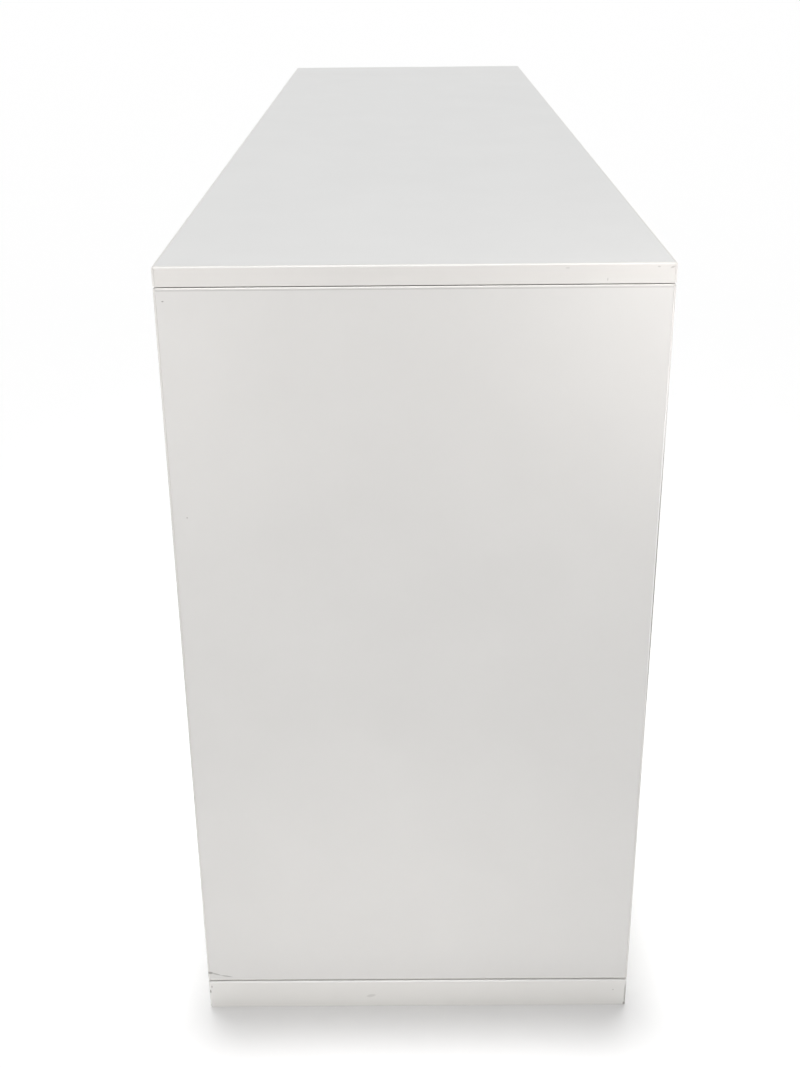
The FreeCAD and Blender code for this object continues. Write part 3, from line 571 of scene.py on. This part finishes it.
def pull_cup(node):
    """A pressed pull as one profile: round its back, out to the rim, over the rim's soft edge and
    down a round-bottomed cup.
    """
    low, high = (np.array(c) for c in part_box(node))
    depth = high[1] - low[1]
    back = (low + high) / 2
    back[1] = high[1]
    shell = PULL_RIM - PULL_WALL
    profile = arc(shell + PULL_BACK_ROUND, PULL_BACK_ROUND, PULL_BACK_ROUND, -90, 0)
    profile += [(shell, depth - PULL_RIM_THICKNESS), (0, depth - PULL_RIM_THICKNESS)]
    profile += arc(PULL_LIP_ROUND, depth - PULL_LIP_ROUND, PULL_LIP_ROUND, 0, 90)
    lip = PULL_RIM - PULL_LIP_ROUND
    profile += [(PULL_LIP_ROUND + SHADE_MARGIN, depth), (lip - SHADE_MARGIN, depth)]
    inner_lip = arc(lip, depth - PULL_LIP_ROUND, PULL_LIP_ROUND, 90, 0)
    profile += [(2 * lip - d, h) for d, h in inner_lip]
    floor = PULL_RIM + PULL_FLOOR_ROUND
    for angle in np.linspace(0, math.pi / 2, 6):
        rise = PULL_FLOOR_ROUND * (1 - math.sin(angle))
        profile.append((floor - PULL_FLOOR_ROUND * math.cos(angle), PULL_WALL + rise))
    profile.append((floor + SHADE_MARGIN, PULL_WALL))
    half = ((high[0] - low[0]) / 2, (high[2] - low[2]) / 2)
    return ring_stack(back, axes_out((0, -1, 0), (0, 0, 1)), half, PULL_CORNER, profile, steps=8)


def lock_rose(core):
    """A round rose with a soft outer edge, fitted over the lock's own flat one."""
    low, high = (np.array(c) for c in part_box(core))
    centre = (low + high) / 2
    centre[1] = low[1] + ROSE_THICKNESS - ROSE_PROUD
    bore = ROSE_RADIUS - ROSE_BORE
    profile = [(ROSE_CHAMFER, 0), (0, ROSE_CHAMFER)]
    profile += arc(ROSE_ROUND, ROSE_THICKNESS - ROSE_ROUND, ROSE_ROUND, 0, 90)
    profile += [(bore - ROSE_CHAMFER, ROSE_THICKNESS), (bore, ROSE_THICKNESS - ROSE_CHAMFER), (bore, 0)]
    axes = axes_out((0, -1, 0), (0, 0, 1))
    half = (ROSE_RADIUS, ROSE_RADIUS)
    return ring_stack(centre, axes, half, ROSE_RADIUS, profile, steps=12, closed=True)


def turned_wheel(node):
    """A turned wheel: a rounded tread, a dished web on both sides, and a hub round its bore."""
    low, high = (np.array(c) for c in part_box(node))
    radius, face = (high[2] - low[2]) / 2, (high[1] - low[1]) / 2
    bore = radius - WHEEL_BORE
    hub = bore - WHEEL_HUB
    upper = arc(WHEEL_ROUND, face - WHEEL_ROUND, WHEEL_ROUND, 0, 90)
    upper += [(WHEEL_RIM, face), (WHEEL_RIM + WHEEL_DISH / 2, face - WHEEL_DISH)]
    upper += [(hub - WHEEL_DISH / 2, face - WHEEL_DISH), (hub, face), (bore, face)]
    profile = upper + [(d, -h) for d, h in upper[::-1]]
    axes = axes_out((0, 1, 0), (0, 0, 1))
    half = (radius, radius)
    return ring_stack((low + high) / 2, axes, half, radius, profile, steps=12, closed=True)


def threaded_spindle(foot, length, spokes=36):
    """A right-hand screw on a polar grid: the radius falls from crest to root and back once in each
    pitch of height, one pitch higher for each turn, and fades to the root at both ends.
    """
    rise = np.linspace(0, length, round(length / THREAD_PITCH * THREAD_ROWS) + 1)[:, None]
    turn = np.linspace(0, 2 * math.pi, spokes, endpoint=False)[None, :]
    phase = (rise / THREAD_PITCH - turn / (2 * math.pi)) % 1
    fade = np.clip(np.minimum(rise, length - rise) / THREAD_PITCH, 0, 1)
    radius = SPINDLE_RADIUS - THREAD_DEPTH * (1 - (1 - np.abs(2 * phase - 1)) * fade)
    height = np.broadcast_to(rise, radius.shape)
    grid = np.stack([radius * np.cos(turn), radius * np.sin(turn), height], axis=-1)
    return (np.array(foot) + grid).reshape(-1, 3), ring_faces(*radius.shape)


def leveller_foot(node):
    """A foot: a disc with a soft lower edge and a sloped shoulder, and a screw up from its middle."""
    low, high = (np.array(c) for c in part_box(node))
    base = (low + high) / 2
    base[2] = low[2]
    neck = FOOT_RADIUS - SPINDLE_RADIUS
    profile = arc(FOOT_ROUND, FOOT_ROUND, FOOT_ROUND, -90, 0)
    profile += [(0, FOOT_THICKNESS - FOOT_SHOULDER_DROP), (FOOT_SHOULDER, FOOT_THICKNESS)]
    profile += [(neck + k * FOOT_NECK, FOOT_THICKNESS + (k + 1) * FOOT_NECK) for k in (-1, 0, 1)]
    half = (FOOT_RADIUS, FOOT_RADIUS)
    disc = ring_stack(base, axes_out((0, 0, 1), (0, 1, 0)), half, FOOT_RADIUS, profile, steps=10)
    base[2] += FOOT_THICKNESS
    return [disc, threaded_spindle(base, high[2] - low[2] - FOOT_THICKNESS)]


def soft_disc(centre, out, along, radius, thickness):
    """A small disc with a rounded rim, standing on a face."""
    edge = DISC_ROUND * thickness
    profile = [(0, 0)] + arc(edge, thickness - edge, edge, 0, 90) + [(edge + SHADE_MARGIN, thickness)]
    return ring_stack(centre, axes_out(out, along), (radius, radius), radius, profile, steps=8)


# Marks on the near end: specks, scuffs and chips, dark lines of painted shade and pale lines of painted
# highlight, as marks_mask takes them
END_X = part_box("right_side_panel")[1][0]
PANEL_MARKS = (
    # Two specks
    ((END_X, -0.1930, 0.6931), (1.2 * MM, 0.7 * MM), 0, 0.65),
    ((END_X, -0.1867, 0.5131), (0.9 * MM, 0.9 * MM), 0, 0.45),
    # A scuff of three strokes at the lower left corner
    ((END_X, -0.1980, 0.0416), (4.2 * MM, 1.9 * MM), -5, 0.70),
    ((END_X, -0.1925, 0.0402), (7.0 * MM, 1.0 * MM), -18, 0.50),
    ((END_X, -0.1825, 0.0376), (7.5 * MM, 0.9 * MM), -9, 0.50),
    # Painted shade along the left and the right edge, and in the joint along the lower edge
    ((END_X, -0.1998, 0.3680), (1.1 * MM, 340.0 * MM), 0, 0.30),
    ((END_X, 0.2000, 0.4550), (1.6 * MM, 190.0 * MM), 0, 1.00),
    ((END_X, 0.0000, 0.0323), (500.0 * MM, 1.1 * MM), 0, 0.70),
)
# A painted highlight down the rounded right edge of the band
PANEL_PAINTED_HIGHLIGHTS = (((END_X, 0.1984, 0.5000), (0.9 * MM, 240.0 * MM), 0, 0.95),)
GLUE_LINE = (((END_X, 0.0000, 0.7013), (500.0 * MM, 0.7 * MM), 0, 0.25),)
PLINTH_MARKS = (
    # Two chips at the left edge
    ((END_X, -0.1988, 0.0190), (1.1 * MM, 2.6 * MM), 0, 0.80),
    ((END_X, -0.1972, 0.0248), (0.9 * MM, 2.0 * MM), 0, 0.50),
    # A smudge and a speck
    ((END_X, -0.0447, 0.0129), (6.0 * MM, 2.4 * MM), 12, 0.22),
    ((END_X, 0.1873, 0.0186), (0.9 * MM, 0.9 * MM), 0, 0.45),
    # Painted shade down the right edge and at its foot
    ((END_X, 0.1990, 0.0140), (1.5 * MM, 17.0 * MM), 0, 0.60),
    ((END_X, 0.1985, 0.0020), (1.6 * MM, 3.0 * MM), 0, 0.70),
)
# A painted highlight along the plinth's upper edge
PLINTH_PAINTED_HIGHLIGHTS = (((END_X, 0.0000, 0.0300), (500.0 * MM, 1.4 * MM), 0, 0.40),)
TOP_MARKS = (
    # Specks on the top's band and a scuff at its right end
    ((END_X, 0.1165, 0.7165), (2.2 * MM, 0.7 * MM), 0, 0.25),
    ((END_X, 0.1472, 0.7075), (0.5 * MM, 1.6 * MM), 0, 0.40),
    ((END_X, 0.1858, 0.7170), (1.6 * MM, 0.8 * MM), 0, 0.35),
    ((END_X, 0.1962, 0.7166), (2.4 * MM, 1.0 * MM), 20, 0.40),
)


def dress(node, material):
    """Puts one finish on a node of the frame."""
    mesh = nodes[node].data
    mesh.materials.clear()
    mesh.materials.append(material)


def dress_boards():
    """Melamine on the carcass, the doors and the shelves, with new eased bands and plinth boards."""
    for name in (
        "top_panel", "bottom_panel", "partition", "left_shelf", "right_shelf",
        "left_door_panel", "right_door_panel", "plinth_cross_rail",
    ):
        dress(name, melamine("melamine_pressed_" + name, name))
    # The near side panel carries the end's marks: specks and a scuff, painted shade along its edges and
    # joint, and the glue line
    for name, marks in (("left_side_panel", ()), ("right_side_panel", PANEL_MARKS + GLUE_LINE)):
        dress(name, melamine("melamine_pressed_" + name, name, "#DDDCDA", "#D7D6D4", marks))

    band = edge_band("abs_edge_band_extruded")
    for name in ("inner_edge_bands", "left_door_banding", "right_door_banding"):
        dress(name, band)
    # The same band with the near end's marks, real ones on the top and, on the side panel, painted shade
    # along the edges and a painted highlight down the right edge; glossier on the side panel
    worn_top = edge_band("abs_edge_band_extruded_top", TOP_MARKS)
    side_wear_and_painted_light = edge_band(
        "abs_edge_band_extruded_side", PANEL_MARKS, PANEL_PAINTED_HIGHLIGHTS, satin=(0.13, 0.20)
    )
    top_strips = [crisp_below(s) for s in band_strips("top_panel", "top_banding", 1, 0.0)]
    make_piece("top_bands", top_strips, worn_top, "carcass", ["top_banding"])
    for side, finish in (("left", band), ("right", side_wear_and_painted_light)):
        banding = side + "_side_banding"
        strips = band_strips(side + "_side_panel", banding, 1, JOINT_GAP)
        make_piece(side + "_side_bands", strips, finish, "carcass", [banding])

    # Foil wrapped round the plinth boards: painted whiter than the bands to lift the shade that falls
    # near the floor, glossy, and with a painted highlight along the near end's upper edge
    for node, axis, side, ends_square, marks, painted_highlights in (
        ("plinth_left_end", 0, -1, False, (), ()),
        ("plinth_right_end", 0, 1, False, PLINTH_MARKS, PLINTH_PAINTED_HIGHLIGHTS),
        ("plinth_front_rail", 1, -1, True, (), ()),
        ("plinth_back_rail", 1, 1, True, (), ()),
    ):
        facing = edge_band(
            "melamine_foil_wrapped_" + node, marks, painted_highlights, "#E8E7E4", "#E2E1DE", (0.18, 0.26)
        )
        boards = [plinth_board(node, axis, side, ends_square)]
        make_piece(node + "_eased", boards, facing, "carcass", [node])


def dress_fittings():
    """Metal, plastic and rubber for the fittings, and the turned or pressed pieces among them."""
    metal = {"Metallic": 1.0}
    # Thin fibreboard faced with the same paper in a warmer white, brown where it is cut
    dress("back_panel", melamine("melamine_on_fibreboard_back", "back_panel", "#E0DFDB", "#DAD9D5"))
    # Beech: close pinkish grain, drawn out upwards, with a dry pressed surface
    dress("dowels", grained(
        "beech_dowel_fluted", "#CFA878", "#B98B5A", 1.2, (1, 1, 0.1), {}, (0.6, 0.75), 0.1
    ))
    # Die-cast zinc: dull grey with a faint sandy skin
    zinc = grained("zinc_die_cast", "#B9B8B4", "#9D9C98", 0.8, (1, 1, 1), metal, (0.38, 0.55), 0.04)
    dress("shelf_pins", zinc)
    # Zinc-plated steel: bright, slightly blue, with drawing lines
    steel = grained(
        "steel_zinc_plated", "#C4C6C8", "#A9ABAD", 0.5, (0.2, 1, 1), metal, (0.22, 0.38), 0.02
    )
    for name in (
        "cam_bolts", "left_door_axles", "right_door_axles", "left_lock_hook", "right_lock_hook",
        "left_strike_plate", "right_strike_plate",
    ):
        dress(name, steel)
    # Natural anodised aluminium: fine die lines along the extrusion under a matt skin
    anodised = grained(
        "aluminium_anodised_extruded", "#C9CACA", "#B4B5B5", 0.6, (0.01, 1, 1), metal, (0.32, 0.45), 0.02
    )
    dress("bottom_rail", anodised)
    dress("top_channel", anodised)
    # Satin nickel: warm grey, fine upright brushing
    nickel = grained(
        "nickel_satin_plated", "#C2BDB3", "#A8A399", 0.4, (1, 1, 0.1), metal, (0.25, 0.40), 0.015
    )
    # Nylon: near black, with a fine spark-eroded mould texture
    nylon = grained("nylon_moulded", "#2B2B2B", "#222222", 0.7, (1, 1, 1), {}, (0.45, 0.60), 0.04)
    dress("leveller_sockets", nylon)
    # Polyethylene: waxy white
    polyethylene = grained(
        "polyethylene_moulded", "#E6E5E1", "#DDDCD8", 2.0, (1, 1, 1), {}, (0.40, 0.52), 0.02
    )
    # Satin aluminium: brushed up and down by the polishing belt
    satin = grained(
        "aluminium_satin_pressed", "#C6C6C4", "#AEAEAC", 0.4, (1, 1, 0.02), metal, (0.28, 0.42), 0.015
    )
    # Acetal: opaque cream-white with faint tool marks across the tread
    acetal = grained("acetal_turned", "#E4E1D8", "#D8D5CC", 0.5, (1, 0.3, 1), {}, (0.28, 0.40), 0.02)
    for side in ("left", "right"):
        door = side + "_door"
        dress(side + "_lock_case", nickel)
        dress(side + "_lock_core", nickel)
        dress(door + "_carriers", nylon)
        dress(door + "_glides", polyethylene)
        pull = door + "_pull"
        make_piece(pull + "_cup", [pull_cup(pull)], satin, door, [pull])
        make_piece(side + "_lock_rose", [lock_rose(side + "_lock_core")], nickel, door)
        for letter in ("a", "b"):
            node, body = (side + part + letter for part in ("_door_wheel_", "_wheel_"))
            make_piece(node + "_turned", [turned_wheel(node)], acetal, body, [node])

    feet = [n for n in sorted(nodes) if n.startswith(("leveller_front", "leveller_back"))]
    for node in feet:
        make_piece(node + "_foot", leveller_foot(node), steel, node, [node])

    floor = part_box("bottom_panel")[1][2]
    caps = []
    for node in feet:
        centre = sum(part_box(node), Vector()) / 2
        place = (centre.x, centre.y, floor)
        caps.append(soft_disc(place, (0, 0, 1), (0, 1, 0), CAP_RADIUS, CAP_THICKNESS))
    make_piece("leveller_cap_lids", caps, polyethylene, "carcass", ["leveller_caps"])
    dress_small_fittings(zinc, steel)


def inner_face(side):
    """Where a side panel faces the inside along X, and the way out of that face."""
    low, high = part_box(side + "_side_panel")
    return (high.x, 1) if side == "left" else (low.x, -1)


def dress_small_fittings(zinc, steel):
    """Buffers on the side panels, cam faces and screw heads."""
    # Rubber: soft grey, dusty and almost matt
    rubber = grained("rubber_moulded", "#B4B4B1", "#A6A6A3", 1.5, (1, 1, 1), {}, (0.65, 0.80), 0.03)
    low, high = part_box("door_buffers")
    pads = []
    for side in ("left", "right"):
        face, out = inner_face(side)
        for y in (low.y + BUFFER_RADIUS, high.y - BUFFER_RADIUS):
            for z in (low.z + BUFFER_RADIUS, high.z - BUFFER_RADIUS):
                place = (face, y, z)
                pads.append(soft_disc(place, (out, 0, 0), (0, 0, 1), BUFFER_RADIUS, BUFFER_STAND))
    make_piece("door_buffer_pads", pads, rubber, "carcass", ["door_buffers"])

    low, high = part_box("bottom_rail")
    seat = low.z + RAIL_BASE
    middle = (low.y + high.y) / 2
    places = np.linspace(low.x + RAIL_SCREW_INSET, high.x - RAIL_SCREW_INSET, RAIL_SCREWS)
    heads = [screw_head((x, middle, seat), (0, 0, 1), (0, 1, 0), SCREW_RADIUS) for x in places]
    for side, out in (("left", 1), ("right", -1)):
        low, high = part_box(side + "_strike_plate")
        face = high.x if out > 0 else low.x
        for z in (low.z + STRIKE_SCREW_INSET, high.z - STRIKE_SCREW_INSET):
            place = (face, (low.y + high.y) / 2, z)
            heads.append(screw_head(place, (out, 0, 0), (0, 0, 1), STRIKE_SCREW_RADIUS))
    make_piece("screw_heads", heads, steel, "carcass")

    low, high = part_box("cam_housings")
    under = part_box("bottom_panel")[0][2]
    cams = []
    for side in ("left", "right"):
        face, out = inner_face(side)
        for y in (low.y + CAM_RADIUS, high.y - CAM_RADIUS):
            cams.append(cam_face((face, y, high.z - CAM_RADIUS), (out, 0, 0), (0, 0, 1)))
            cams.append(cam_face((face + out * CAM_INSET, y, under), (0, 0, -1), (0, 1, 0)))
    make_piece("cam_faces", cams, zinc, "carcass", ["cam_housings"])


def build_stage():
    """A wide pale floor that runs out of view on every side."""
    corners = np.array([(-1, -1, 0), (1, -1, 0), (1, 1, 0), (-1, 1, 0)], float) * FLOOR_REACH
    mesh = bpy.data.meshes.new("studio_floor")
    mesh.from_pydata(corners.tolist(), [], [(0, 1, 2, 3)])
    # Painted studio floor: even, matt and bright enough to burn out in the open
    mesh.materials.append(new_finish("studio_floor_paint", {
        "Base Color": linear("#F4F4F4"), "Roughness": 0.9, "Specular IOR Level": 0.0,
        "Emission Color": linear(WHITE), "Emission Strength": FLOOR_GLOW,
    })[0])
    floor = bpy.data.objects.new("studio_floor", mesh)
    bpy.context.scene.collection.objects.link(floor)


def add_light(name, place, aim, size, power, colour, lit=True, shine=True):
    """An oval soft light that faces a point and stays out of the picture.

    Its first size lies level, and its second up and down, or along X when it looks straight down.
    It can leave out the light it spreads or the shine it makes.
    """
    lamp = bpy.data.lights.new(name, "AREA")
    lamp.shape = "ELLIPSE"
    lamp.size, lamp.size_y = size
    lamp.energy = power
    lamp.color = linear(colour)[:3]
    light = bpy.data.objects.new(name, lamp)
    light.location = place
    light.rotation_euler = (Vector(aim) - Vector(place)).to_track_quat("-Z", "Y").to_euler()
    light.visible_camera = False
    light.visible_diffuse = lit
    light.visible_glossy = shine
    bpy.context.scene.collection.objects.link(light)


def build_lights():
    """A broad even light from high overhead, soft ones close to the near end, pale walls all round,
    and a wide panel that shows only as the shine on round edges and metal.
    """
    lean_x, lean_y = (math.tan(math.radians(a)) * KEY_HEIGHT for a in KEY_LEAN)
    size = [2 * KEY_HEIGHT * math.tan(math.radians(a / 2)) for a in KEY_SPREAD]
    power = KEY_LEVEL * (math.pi * KEY_HEIGHT) ** 2
    add_light("overhead_key", (lean_x, lean_y, KEY_HEIGHT), (0, 0, 0), size, power, WHITE)
    for name, values in NEAR_LIGHTS.items():
        add_light(name, *values, WARM_WHITE, shine=False)
    add_light("edge_glint", *GLINT, WHITE, lit=False)

    world = bpy.data.worlds.new("studio_surround")
    world.use_nodes = True
    tree = world.node_tree
    way = add_node(tree, "ShaderNodeTexCoord").outputs["Generated"]
    rise = add_node(tree, "ShaderNodeSeparateXYZ", links={0: way}).outputs["Z"]
    slope = add_node(tree, "ShaderNodeMath", links={0: rise}, operation="ABSOLUTE").outputs[0]
    level = add_node(
        tree, "ShaderNodeMapRange",
        {"From Min": SURROUND_RISE[0], "From Max": SURROUND_RISE[1],
         "To Min": SURROUND[0], "To Max": SURROUND[1]},
        {"Value": slope}, interpolation_type="SMOOTHSTEP",
    )
    back = tree.nodes["Background"]
    back.inputs["Color"].default_value = linear(WHITE)
    tree.links.new(level.outputs["Result"], back.inputs["Strength"])
    bpy.context.scene.world = world


def place_camera():
    """The photograph's camera: turned down and about by small measured angles, looking along -X."""
    pitch, yaw, roll = (math.radians(a) for a in (CAMERA_PITCH, CAMERA_YAW, CAMERA_ROLL))
    forward = Vector((
        -math.cos(yaw) * math.cos(pitch), math.sin(yaw) * math.cos(pitch), -math.sin(pitch)
    ))
    level = forward.cross(Vector((0, 0, 1))).normalized()
    rise = level.cross(forward)
    right = level * math.cos(roll) + rise * math.sin(roll)
    up = rise * math.cos(roll) - level * math.sin(roll)
    data = bpy.data.cameras.new("photo_camera")
    data.sensor_width = SENSOR_MM
    data.lens = FOCAL_PIXELS / max(IMAGE_WIDTH, IMAGE_HEIGHT) * SENSOR_MM
    camera = bpy.data.objects.new("photo_camera", data)
    turn = Matrix((right, up, -forward)).transposed()
    camera.matrix_world = Matrix.Translation(CAMERA_PLACE) @ turn.to_4x4()
    bpy.context.scene.collection.objects.link(camera)
    bpy.context.scene.camera = camera


dress_boards()
dress_fittings()
build_stage()
build_lights()
place_camera()
bpy.context.scene.view_settings.view_transform = "Standard"
